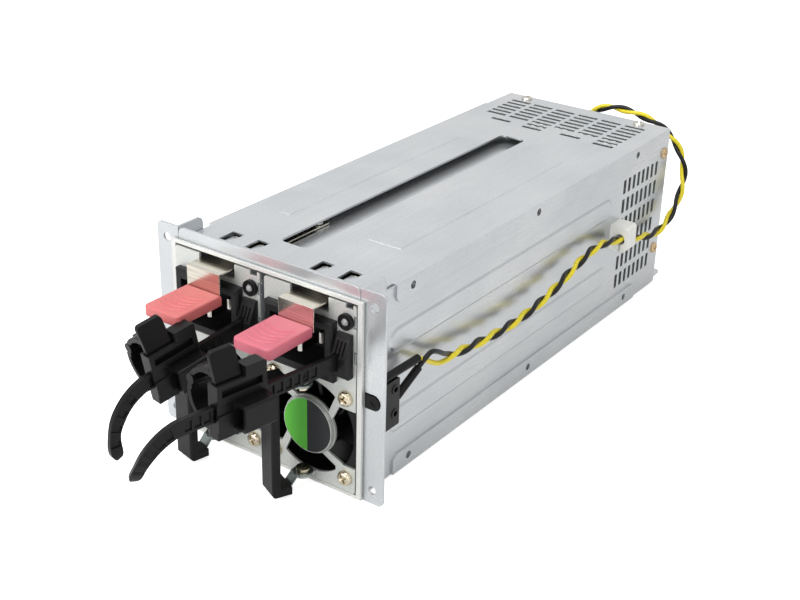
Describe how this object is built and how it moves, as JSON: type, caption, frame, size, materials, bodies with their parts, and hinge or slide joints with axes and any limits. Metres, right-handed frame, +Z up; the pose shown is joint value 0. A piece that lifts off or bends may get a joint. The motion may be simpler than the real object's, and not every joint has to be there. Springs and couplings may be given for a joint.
{
  "type": "hot swap server power supply",
  "caption": "Sheet steel cage with upright plug-in power modules, each with a fan grille, mains inlet, pull handle, red latch tab and cord clamp strap.",
  "frame": {"origin": "centre of the four holes of the mounting flange, on the flange's front face", "axes": "+X to the right seen from the front, +Y into the rack, from the front face to the rear, +Z up"},
  "size_m": [0.1034, 0.3277, 0.082],
  "materials": {
    "galvanised": "pale zinc coated sheet, satin",
    "bright_steel": "bright spring steel",
    "zinc_screws": "zinc plated",
    "nickel_screws": "nickel plated",
    "nickel_contacts": "nickel plated brass",
    "dark_plastic": "moulded, fine grain",
    "black_nylon": "moulded nylon, slight sheen",
    "black_sleeve": "shrink sleeve",
    "white_nylon": "natural nylon",
    "red_plastic": "moulded red plastic",
    "clear_lens": "clear lens",
    "circuit_board": "solder mask",
    "capacitor_sleeve": "printed sleeve, left bare",
    "wire_insulation": "soft insulation, one yellow wire and one black wire"
  },
  "bodies": {
    "cage": {"cage_side_left": "galvanised", "cage_side_right": "galvanised", "cage_top_cover": "galvanised", "cage_bottom_cover": "galvanised", "cage_rear_panel": "galvanised", "front_frame_ring": "bright_steel", "bay_divider": "galvanised", "cage_screws": "zinc_screws", "outlet_bushing": "black_nylon", "backplane_board": "circuit_board", "backplane_sockets": "dark_plastic", "alarm_switch": "dark_plastic", "switch_sleeves": "black_sleeve", "cable_clip": "white_nylon", "alarm_cord": "wire_insulation"},
    "reset_button": {"alarm_button": "dark_plastic"},
    "left_module": {"left_front_panel": "galvanised", "left_case": "galvanised", "left_case_cover": "galvanised", "left_fan_frame": "dark_plastic", "left_fan_screws": "nickel_screws", "left_ac_inlet": "dark_plastic", "left_inlet_pins": "nickel_contacts", "left_light_ring": "dark_plastic", "left_light_lens": "clear_lens", "left_handle_pivots": "zinc_screws", "left_strap": "black_nylon", "left_strap_anchor": "black_nylon", "left_main_board": "circuit_board", "left_capacitors": "capacitor_sleeve"},
    "left_fan": {"left_fan_rotor": "dark_plastic"},
    "left_latch": {"left_latch_spring": "bright_steel", "left_latch_tab": "red_plastic"},
    "left_handle": {"left_handle_grip": "black_nylon", "left_handle_brackets": "bright_steel"},
    "left_clamp": {"left_clamp_body": "black_nylon"},
    "left_flap": {"left_clamp_flap": "black_nylon"},
    "left_release": {"left_clamp_lever": "black_nylon"},
    "right_module": {"right_front_panel": "galvanised", "right_case": "galvanised", "right_case_cover": "galvanised", "right_fan_frame": "dark_plastic", "right_fan_screws": "nickel_screws", "right_ac_inlet": "dark_plastic", "right_inlet_pins": "nickel_contacts", "right_light_ring": "dark_plastic", "right_light_lens": "clear_lens", "right_handle_pivots": "zinc_screws", "right_strap": "black_nylon", "right_strap_anchor": "black_nylon", "right_main_board": "circuit_board", "right_capacitors": "capacitor_sleeve"},
    "right_fan": {"right_fan_rotor": "dark_plastic"},
    "right_latch": {"right_latch_spring": "bright_steel", "right_latch_tab": "red_plastic"},
    "right_handle": {"right_handle_grip": "black_nylon", "right_handle_brackets": "bright_steel"},
    "right_clamp": {"right_clamp_body": "black_nylon"},
    "right_flap": {"right_clamp_flap": "black_nylon"},
    "right_release": {"right_clamp_lever": "black_nylon"}
  },
  "joints": [
    {"name": "reset_button_press", "type": "slide", "parent": "cage", "child": "reset_button", "axis": [0, 1, 0], "range_m": [0, 0.0006], "stiffness_N_per_m": 600, "springref_m": -0.0008},
    {"name": "left_module_slide", "type": "slide", "parent": "cage", "child": "left_module", "axis": [0, -1, 0], "range_m": [0, 0.19]},
    {"name": "left_fan_spin", "type": "hinge", "parent": "left_module", "child": "left_fan", "pos_m": [-0.021, 0.008, -0.017], "axis": [0, 1, 0], "continuous": true},
    {"name": "left_latch_press", "type": "hinge", "parent": "left_module", "child": "left_latch", "pos_m": [-0.021, 0.045, 0.0322], "axis": [1, 0, 0], "range_deg": [0, 3], "stiffness_Nm_per_rad": 6, "springref_deg": -0.57},
    {"name": "left_handle_swing", "type": "hinge", "parent": "left_module", "child": "left_handle", "pos_m": [-0.021, -0.006, -0.0167], "axis": [0, 0, 1], "range_deg": [-47, 73]},
    {"name": "left_clamp_slide", "type": "slide", "parent": "left_module", "child": "left_clamp", "axis": [-0.1755, -0.9658, -0.1908], "range_m": [-0.0005, 0.003]},
    {"name": "left_flap_open", "type": "hinge", "parent": "left_clamp", "child": "left_flap", "pos_m": [-0.02752, -0.03449, 0.01313], "axis": [-0.1755, -0.9658, -0.1908], "range_deg": [0, 95]},
    {"name": "left_release_press", "type": "hinge", "parent": "left_clamp", "child": "left_release", "pos_m": [-0.01241, -0.04029, 0.01764], "axis": [0.1755, 0.9658, 0.1908], "range_deg": [0, 8], "stiffness_Nm_per_rad": 0.3, "springref_deg": -1.15},
    {"name": "right_module_slide", "type": "slide", "parent": "cage", "child": "right_module", "axis": [0, -1, 0], "range_m": [0, 0.19]},
    {"name": "right_fan_spin", "type": "hinge", "parent": "right_module", "child": "right_fan", "pos_m": [0.021, 0.008, -0.017], "axis": [0, 1, 0], "continuous": true},
    {"name": "right_latch_press", "type": "hinge", "parent": "right_module", "child": "right_latch", "pos_m": [0.021, 0.045, 0.0322], "axis": [1, 0, 0], "range_deg": [0, 3], "stiffness_Nm_per_rad": 6, "springref_deg": -0.57},
    {"name": "right_handle_swing", "type": "hinge", "parent": "right_module", "child": "right_handle", "pos_m": [0.021, -0.006, -0.0167], "axis": [0, 0, 1], "range_deg": [-35, 85]},
    {"name": "right_clamp_slide", "type": "slide", "parent": "right_module", "child": "right_clamp", "axis": [-0.1788, -0.9839, 0], "range_m": [-0.003, 0.01]},
    {"name": "right_flap_open", "type": "hinge", "parent": "right_clamp", "child": "right_flap", "pos_m": [0.01248, -0.04548, 0.019], "axis": [-0.1788, -0.9839, 0], "range_deg": [0, 95]},
    {"name": "right_release_press", "type": "hinge", "parent": "right_clamp", "child": "right_release", "pos_m": [0.02775, -0.05039, 0.024], "axis": [0.1788, 0.9839, 0], "range_deg": [0, 8], "stiffness_Nm_per_rad": 0.3, "springref_deg": -1.15}
  ]
}
